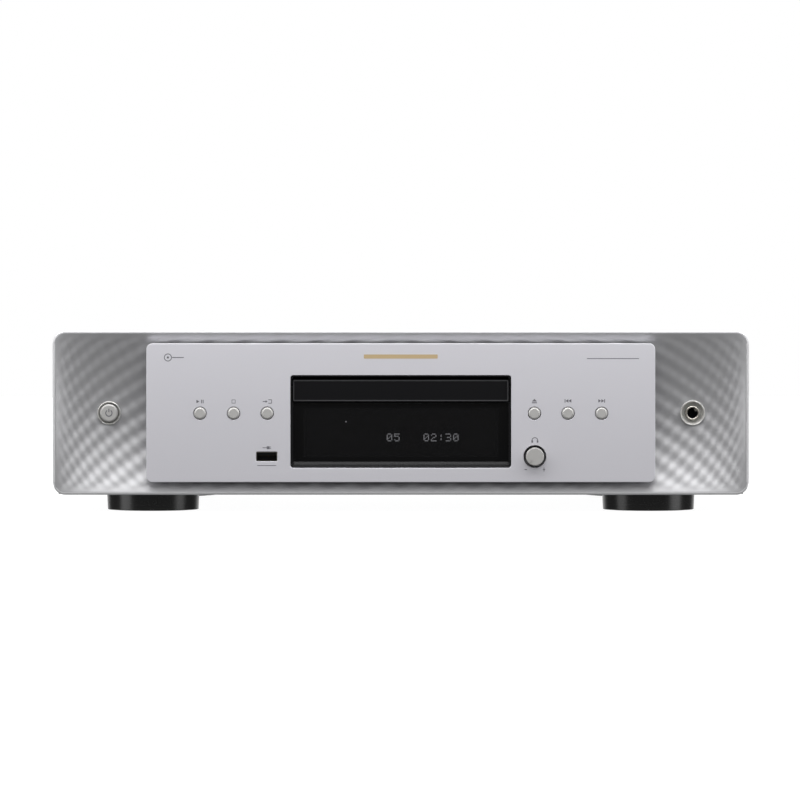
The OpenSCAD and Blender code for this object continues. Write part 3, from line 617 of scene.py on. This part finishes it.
# %% Floating plate
plate_low, plate_high = edges("front_plate")
plate_mid = (plate_low + plate_high) / 2
plate_size = plate_high - plate_low
plate_front, plate_t = plate_low.y, 4.0
knob = centre("level_knob")
shapes = [outline(plate_size.x, plate_size.z, 3.8, plate_mid.x, plate_mid.z),
          outline(window_size.x, window_size.z, 1.8, window_mid.x, window_mid.z)]
shapes += [circle(centre(node).x, centre(node).z, 4.15) for node in button_nodes]
shapes += [circle(knob.x, knob.z, 7.2), outline(13.5, 6.1, 0.8, usb.x, usb.z, 4)]
plate_parts = [plate(shapes, plate_front, plate_t, 0.35)]
for x in (-148, 148):
    for z in (-12, 12):
        plate_parts.append(turned([(4, plate_front + plate_t), (4, plate_high.y)],
                                  (x, 0, plate_mid.z + z), steps=24))
floating_plate = keep("floating_plate", merged(*plate_parts), blasted_aluminium,
                      "front_plate", ["front_plate"])
print("plate:", [round(v / MM, 1) for v in floating_plate.dimensions])

# %% [markdown]
# ## Window, door and lens
# The window's surround is moulded in gloss black. Its mouth slopes in from the plate to the lens, and the
# door of the disc tray fills the upper third. The door is satin, the lens is smoked acrylic with the
# display behind it. Their shapes are right in the design already, so a copy with softly broken edges is
# enough. The door's broken edges and a thin line inset on its face wear a lighter grey that paints a
# highlight.

# %% Window, door and lens
keep("window_surround_moulding", softened("window_surround", 0.6), gloss_black_abs,
                "window_surround", ["window_surround"])
keep("display_lens", softened("display_window", 0.15), smoked_acrylic, "display_window", ["display_window"])
# The door's broken edges wear the lighter grey as their second material: a painted highlight along them.
door = keep("tray_door_panel", softened("tray_door", 0.6, second=1), door_satin_abs,
            "tray_door", ["tray_door"])
door.data.materials.append(door_edge_abs)
door_low, door_high = edges("tray_door")
door_mid, door_size = (door_low + door_high) / 2, door_high - door_low
# A thin raised line inset on the door's face, in the same lighter grey: a painted highlight line.
door_line = [outline(door_size.x - 2 * inset, door_size.z - 2 * inset, 0.5, door_mid.x, door_mid.z, 3)
             for inset in (0.6, 1.2)]
keep("door_line", plate(door_line, door_low.y - 0.12, 0.2), door_edge_abs, "tray_door", even=False)

# %% [markdown]
# ## Buttons and rings
# The six round buttons and the power button are turned from aluminium bar: a flat face, a narrow chamfer
# that flashes in the light, a stem, and a flange behind the front that stops them from falling out. Around
# the power button and the headphone socket sit bright rings whose inner side is a cone.

# %% Buttons
def cap(node, radius, depth, flange_r, flange_y):
    """A turned cap with its chamfer, its stem and the flange that stops it."""
    low, high = edges(node)
    profile = [(radius - 0.95, low.y), (radius - 0.12, low.y + 0.5), (radius, low.y + 0.65),
               (radius, low.y + depth), (2.0, low.y + depth), (2.0, flange_y), (flange_r, flange_y),
               (flange_r, flange_y + 1), (2.0, flange_y + 1), (2.0, high.y)]
    mesh = turned(profile, (centre(node).x, 0, centre(node).z))
    return keep(node + "_cap", mesh, satin_cap, node, [node], smooth=25)


for node in button_nodes:
    cap(node, 3.75, 10.8, 3.3, -182.9)
cap("power_button", 5.7, 5.5, 6.8, -182.8)


def ring(name, node, profile, material):
    """A ring turned about the middle of a part; its profile is closed."""
    mesh = turned(profile, (centre(node).x, 0, centre(node).z), steps=96, closed=True)
    return keep(name, mesh, material, node)


ring_front, ring_back = edges("power_button_ring")[0].y, edges("power_button_ring")[1].y
power_ring = ring("power_ring", "power_button_ring", [
    (7.45, ring_back), (7.45, ring_front + 0.35), (7.3, ring_front + 0.1), (7.05, ring_front),
    (6.85, ring_front + 0.12), (6.1, ring_front + 1.5), (6.0, ring_front + 1.8), (6.0, ring_back)],
    satin_ring)
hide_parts("power_button_ring")
socket_ring = ring("headphone_socket_ring", "headphone_ring", [
    (8.0, ring_back), (8.0, ring_front + 0.4), (7.8, ring_front + 0.08), (7.5, ring_front),
    (7.15, ring_front + 0.15), (6.3, ring_front + 1.9), (6.1, ring_front + 2.4), (6.1, ring_back - 1),
    (4.8, ring_back - 1), (4.8, ring_back)], satin_ring)
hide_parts("headphone_ring")

# %% Level knob
knob_low, knob_high = edges("level_knob")
knob_mesh = turned([(5.15, knob_low.y), (5.58, knob_low.y + 0.3), (5.7, knob_low.y + 0.6), (5.7, -198),
                    (3.0, -198), (3.0, knob_high.y)], (knob.x, 0, knob.z), steps=96)
pointer = box_mesh((-0.42, -1, 3.0), (0.42, 0.45, 7.0))
pointer.transform(Matrix.Translation(Vector((knob.x, knob_low.y, knob.z)) * MM)
                  @ Matrix.Rotation(math.radians(215), 4, "Y"))
keep("level_knob_cap", cut(knob_mesh, pointer), satin_cap, "level_knob", ["level_knob"])

# %% [markdown]
# ## Sockets on the front
# The headphone socket is a black moulded block with a bright nickel collar in its mouth, and the spring
# contact shows inside. The USB socket has a black tongue with four gold contacts.

# %% Headphone and USB sockets
jack = centre("headphone_ring")
jack_low, jack_high = edges("headphone_jack")
bore = turned([(3.25, jack_low.y - 2), (3.25, jack_high.y - 2)], (jack.x, 0, jack.z))
jack_block = cut(box_mesh((jack_low.x, -183, jack_low.z), (jack_high.x, jack_high.y, jack_high.z), 0.4), bore)
keep("headphone_socket_block", jack_block, satin_black_abs, "headphone_jack", ["headphone_jack"])
ring("headphone_collar", "headphone_ring", [
    (3.25, -183), (3.25, jack_low.y + 0.7), (3.55, jack_low.y + 0.15), (3.95, jack_low.y),
    (4.4, jack_low.y + 0.2), (4.65, jack_low.y + 0.6), (4.65, -183)], nickel_plate)
contact = box_mesh((-0.8, jack_low.y + 1.6, 2.2), (0.8, -170, 3.2), 0.15)
contact_turn = Matrix.Rotation(math.radians(48), 4, "Y")
contact.transform(Matrix.Translation(Vector((jack.x, 0, jack.z)) * MM) @ contact_turn)
keep("headphone_contact", contact, nickel_plate, "headphone_jack")
tongue_low = edges("usb_tongue")[0]
usb_contacts = [box_mesh((usb.x + x - 0.5, tongue_low.y + 3.2, usb.z + 0.5),
                         (usb.x + x + 0.5, -186, usb.z + 0.62), 0.03) for x in (-3.5, -1, 1, 3.5)]
keep("usb_contacts", merged(*usb_contacts), gold_plate, "usb_tongue")

# %% [markdown]
# ## Printed marks
# The signs are screen-printed: a film of grey ink a twentieth of a millimetre thick. Each sign is a flat
# shape with its own thickness, so it has the crisp edge of real print. They are the common signs for play,
# stop, input, eject, previous, next, plug, headphones, less and more. Names and wording are left blank: a
# plain gold bar stands in the place of a name, and plain rules in the place of wording.

# %% Signs on the plate
ink_t = 0.06
icon_z = 70.3


def bar(x, z, w, h):
    """The corners of a rectangle about a point."""
    return [(x - w / 2, z - h / 2), (x + w / 2, z - h / 2), (x + w / 2, z + h / 2), (x - w / 2, z + h / 2)]


def arrow(x, z, w, h):
    """A triangle that points along +X, or along -X if w is negative."""
    return [(x - w / 2, z - h / 2), (x + w / 2, z), (x - w / 2, z + h / 2)]


def arc(x, z, r, w, start, end, steps=24):
    """A band of width w along an arc between two angles in degrees."""
    turns = [math.radians(start + (end - start) * i / steps) for i in range(steps + 1)]
    return ([(x + (r + w / 2) * math.cos(a), z + (r + w / 2) * math.sin(a)) for a in turns]
            + [(x + (r - w / 2) * math.cos(a), z + (r - w / 2) * math.sin(a)) for a in turns[::-1]])


at = {node: centre(node).x for node in button_nodes}
signs = [
    arrow(at["play_button"] - 1.3, icon_z, 1.9, 2.2), bar(at["play_button"] + 1.0, icon_z, 0.5, 2.2),
    bar(at["play_button"] + 2.0, icon_z, 0.5, 2.2),
    bar(at["stop_button"], icon_z, 2.4, 2.4), bar(at["stop_button"], icon_z, 1.8, 1.8),
    bar(at["input_button"] - 1.9, icon_z, 1.8, 0.5), arrow(at["input_button"] - 0.4, icon_z, 1.2, 1.7),
    bar(at["input_button"] + 1.8, icon_z + 1.1, 2.2, 0.4),
    bar(at["input_button"] + 1.8, icon_z - 1.1, 2.2, 0.4),
    bar(at["input_button"] + 2.8, icon_z, 0.4, 1.7),
    [(at["open_close_button"] - 1.6, icon_z), (at["open_close_button"] + 1.6, icon_z),
     (at["open_close_button"], icon_z + 1.7)], bar(at["open_close_button"], icon_z - 0.8, 3.2, 0.6),
    bar(at["previous_button"] - 1.9, icon_z + 0.4, 0.5, 2.2),
    arrow(at["previous_button"] - 0.7, icon_z + 0.4, -1.8, 2.2),
    arrow(at["previous_button"] + 1.2, icon_z + 0.4, -1.8, 2.2),
    bar(at["next_button"] + 1.9, icon_z + 0.4, 0.5, 2.2),
    arrow(at["next_button"] + 0.7, icon_z + 0.4, 1.8, 2.2),
    arrow(at["next_button"] - 1.2, icon_z + 0.4, 1.8, 2.2),
    bar(usb.x - 1.3, usb.z + 5.6, 2.6, 0.4), bar(usb.x + 0.9, usb.z + 5.6, 1.8, 1.8),
    bar(usb.x + 2.3, usb.z + 6.05, 0.9, 0.35), bar(usb.x + 2.3, usb.z + 5.15, 0.9, 0.35),
    arc(knob.x, knob.z + 10.2, 1.8, 0.45, 0, 180), bar(knob.x - 1.7, knob.z + 9.5, 1.0, 1.4),
    bar(knob.x + 1.7, knob.z + 9.5, 1.0, 1.4),
    bar(knob.x - 5.8, knob.z - 8.2, 1.5, 0.4), bar(knob.x + 5.8, knob.z - 8.2, 1.5, 0.4),
    bar(knob.x + 5.8, knob.z - 7.45, 0.4, 1.05), bar(knob.x + 5.8, knob.z - 8.95, 0.4, 1.05),
    bar(usb.x, usb.z - 5.7, 12, 0.4), bar(134.5, 97.5, 33, 0.45),
    circle(-147.6, 98.2, 2.5, 32), circle(-147.6, 98.2, 2.0, 32), circle(-147.6, 98.2, 0.7, 20),
    bar(-141.2, 98.2, 7.4, 0.5)]
keep("printed_signs", plate(signs, plate_front - ink_t, ink_t + 0.02), grey_ink, "front_plate", even=False)
name_bar = plate([outline(46.8, 2.6, 0.3, 0, 98.8)], plate_front - ink_t, ink_t + 0.02)
keep("blank_name_bar", name_bar, gold_foil,
     "front_plate", even=False)
standby = centre("power_button")
standby_marks = [arc(standby.x, standby.z, 2.0, 0.65, 125, 415, 36),
                 bar(standby.x, standby.z + 1.7, 0.65, 2.2)]
keep("standby_sign", plate(standby_marks, edges("power_button")[0].y - ink_t, ink_t + 0.02), grey_ink,
     "power_button", even=False)
print("signs:", len(signs) + len(standby_marks))

# %% [markdown]
# ## Display digits
# The display is a dot matrix: each character is five dots wide and seven high, and every dot is a small
# square of glowing phosphor on the module's face. The player shows track 05 at 02:30. The acrylic in front
# dims them.

# %% Digits
dot_rows = {"0": "01110 10001 10011 10101 11001 10001 01110",
            "5": "11111 10000 11110 00001 00001 10001 01110",
            "2": "01110 10001 00001 00110 01000 10000 11111",
            "3": "11110 00001 00001 01110 00001 00001 11110",
            ":": "00000 00100 00100 00000 00100 00100 00000"}
dot_pitch, dot_size, digit_pitch = 0.72, 0.6, 4.7
module_low = edges("display_module")[0]


def dots(text, x, z):
    """The lit dots of a text; x is its left end and z its middle height."""
    made = []
    for number, letter in enumerate(text):
        for row, bits in enumerate(dot_rows[letter].split()):
            for column, bit in enumerate(bits):
                if bit == "1":
                    middle = Vector((x + number * digit_pitch + (column + 0.5) * dot_pitch, module_low.y,
                                     z + (3 - row) * dot_pitch))
                    half = Vector((dot_size / 2, 0.1, dot_size / 2))
                    made.append(box_mesh(middle - half, middle + half))
    return made


lit = dots("05", -9.0, 47.3) + dots("02:30", 14.4, 47.3)
lit.append(box_mesh((-35.2, module_low.y - 0.1, 56.9), (-34.4, module_low.y + 0.1, 57.7), 0.08))
keep("display_digits", merged(*lit), digit_glow, "display_module", even=False)
print("lit dots:", len(lit))

# %% [markdown]
# ## Feet
# Four moulded feet, nearly straight, with a round lower edge and a rubber pad let into the underside. A spun
# profile with its screw recess gives the shape, and a satin black picks up two soft lights on each side.

# %% Feet
feet_high = edges("feet")[1]
pads_high = edges("foot_pads")[1]
foot_x, foot_y = pads_high.x - 25, pads_high.y - 25
foot_r = feet_high.x - foot_x
foot_meshes, pad_meshes = [], []
for x in (-foot_x, foot_x):
    for y in (-foot_y, foot_y):
        foot_meshes.append(turned([
            (2.1, feet_high.z), (foot_r, feet_high.z), (foot_r - 0.46, 0.7), (foot_r - 0.6, 0.45),
            (foot_r - 0.9, 0.32), (25.2, 0.3), (25.1, 1.82), (4.5, 1.82), (4.5, 7), (2.1, 7)],
            (x, y, 0), "Z", 96, closed=True))
        pad_meshes.append(turned([(24.2, 0), (24.8, 0.3), (25.0, 0.7), (25.0, 1.8)], (x, y, 0), "Z", 96))
keep("moulded_feet", merged(*foot_meshes), foot_abs, "feet", ["feet"])
keep("rubber_pads", merged(*pad_meshes), foot_rubber, "foot_pads", ["foot_pads"])
print("foot radius", round(foot_r, 2))

# %% [markdown]
# ## Casing
# The cover is one sheet bent down at both sides, powder coated, with its corners rounded by the bending
# tool. The back is a flat panel with the sockets. A small bevel on every cut edge keeps them from looking
# like paper.

# %% Casing
keep("bent_cover", softened("top_cover", 0.25), powder_coat, "top_cover", ["top_cover"])
keep("back_panel", softened("rear_panel", 0.25), powder_coat, "rear_panel", ["rear_panel"])
keep("tray_moulding", softened("disc_tray", 0.3), loader_plastic, "disc_tray", ["disc_tray"])
keep("mains_socket", softened("mains_inlet", 0.5), satin_black_abs, "mains_inlet", ["mains_inlet"])

# %% [markdown]
# ## Parts that keep their mesh
# The parts inside and the small metal parts already have their real shape, so they only need a finish. One
# table names the finish and the parts that wear it, and the loop puts it into every slot of their meshes.

# %% Materials of the parts that keep their mesh
wears = {
    zinc_steel: ["bottom_chassis", "front_frame", "level_potentiometer", "loading_motor", "traverse_frame",
                 "spindle_motor", "sled_motor", "clamp_bridge"],
    solder_mask: ["display_board", "button_boards", "headphone_board", "main_board", "power_board"],
    satin_black_abs: ["usb_tongue", "turntable", "clamper", "optical_socket"],
    grained_black_abs: ["pickup_body", "optical_flap"],
    acetal: ["motor_pulley", "pulley_gear", "drive_gear", "cam_slider", "sled_gear"],
    nickel_plate: ["usb_socket", "phono_jacks", "mains_pins"],
    capacitor_sleeve: ["power_capacitors"], black_anodised: ["heat_sink"],
    varnished_core: ["transformer_core"],
    enamelled_copper: ["transformer_winding"], loader_plastic: ["loader_frame"], belt_rubber: ["drive_belt"],
    spring_steel: ["guide_rods"], pickup_glass: ["pickup_lens"], turned_brass: ["sled_pinion"],
    display_face: ["display_module"]}
for material, nodes in wears.items():
    for node in nodes:
        mesh_object = frame["nodes"][node]
        for at in mesh_object.material_slots:
            at.material = material
print("finishes put on the frame's own meshes:", len(wears))

# %% [markdown]
# ## Phono insulators
# Each phono socket is marked by a coloured plastic collar against the panel: orange for the digital output,
# white and red for left and right. A collar is a turned ring with broken edges, so a short profile makes it.

# %% Phono insulators
sheet_back = edges("rear_panel")[1].y
phono_z = 40
phono_places = ((orange_abs, 88), (white_abs, 116), (red_abs, 138))
for colour, x in phono_places:
    sleeve = turned([(4.25, sheet_back + 1.8), (5.3, sheet_back + 1.8), (5.5, sheet_back + 2.0),
                     (5.5, sheet_back + 2.8), (5.3, sheet_back + 3.0), (4.25, sheet_back + 3.0)],
                    (x, 0, phono_z), steps=48, closed=True)
    keep("phono_insulator_" + colour.name.split("_")[0], sleeve, colour, "phono_jacks")
print("phono insulators:", len(phono_places))

# %% [markdown]
# ## Case screws
# Pan-head screws hold the feet, the sides of the cover and the rear panel. A head is a turned dome, and its
# cross recess is cut by two thin boxes, because a recess that is only drawn looks flat from the side.

# %% Case screws
def screw(place, turn, head=2.2):
    """A pan-head screw with a cross recess; the turn takes +Z to the way it faces."""
    body = turned([(2.0, -6), (2.0, 0), (3.75, 0), (3.75, head * 0.5), (3.3, head * 0.82), (2.3, head)],
                  (0, 0, 0), "Z", 32)
    slots = [box_mesh((-1.7, -0.35, head * 0.45), (1.7, 0.35, head + 1)),
             box_mesh((-0.35, -1.7, head * 0.45), (0.35, 1.7, head + 1))]
    body = cut(cut(body, slots[0]), slots[1])
    body.transform(Matrix.Translation(Vector(place) * MM) @ turn)
    return body


half_w = edges("top_cover")[1].x
foot_screw_z = 7
cover_screw_y, cover_screw_z, cover_head = 130, 24, 0.9
rear_rows = (((-180, -60, 60, 180), 108), ((-205, -60, 40, 205), 19))
facing_down = Matrix.Rotation(math.pi, 4, "X")
facing_back = Matrix.Rotation(-math.pi / 2, 4, "X")
screws = [screw((x, y, foot_screw_z), facing_down) for x in (-foot_x, foot_x) for y in (-foot_y, foot_y)]
screws += [screw((side * half_w, y, cover_screw_z), Matrix.Rotation(side * math.pi / 2, 4, "Y"), cover_head)
           for side in (-1, 1) for y in (-cover_screw_y, cover_screw_y)]
screws += [screw((x, sheet_back, z), facing_back) for xs, z in rear_rows for x in xs]
keep("pan_head_screws", merged(*screws), black_zinc, "case_screws", ["case_screws"])
bare = [node for node, item in frame["nodes"].items() if not item.hide_render
        and not any(node in nodes for nodes in wears.values())]
print("nodes still bare:", bare)


# %% [markdown]
# ## Floor
# A plain pale floor under the whole picture. It gives out nearly white light of its own, as a lit white
# table does, so it joins the white backdrop without a line. It is kept out of the reflections, the bounced
# light and the shadows: the sky's lower half already gives that light, and more would wash out the dark
# slopes of the dish.

# %% Floor
floor_paint = finish("pale_floor", "505050", 0.7, 0.0, 4.0, 0.02, IOR=1.45)
floor_surface = floor_paint.node_tree.nodes["Principled BSDF"]
floor_surface.inputs["Emission Color"].default_value = linear("FFFFFF")
floor_surface.inputs["Emission Strength"].default_value = 0.97
floor_mesh = bpy.data.meshes.new("floor")
floor_work = bmesh.new()
bmesh.ops.create_grid(floor_work, x_segments=8, y_segments=8, size=6)
floor_work.to_mesh(floor_mesh)
floor_work.free()
floor = bpy.data.objects.new("floor", floor_mesh)
floor_mesh.materials.append(floor_paint)
bpy.context.scene.collection.objects.link(floor)
floor.location.z = -0.1 * MM
floor.visible_diffuse = floor.visible_glossy = floor.visible_shadow = False
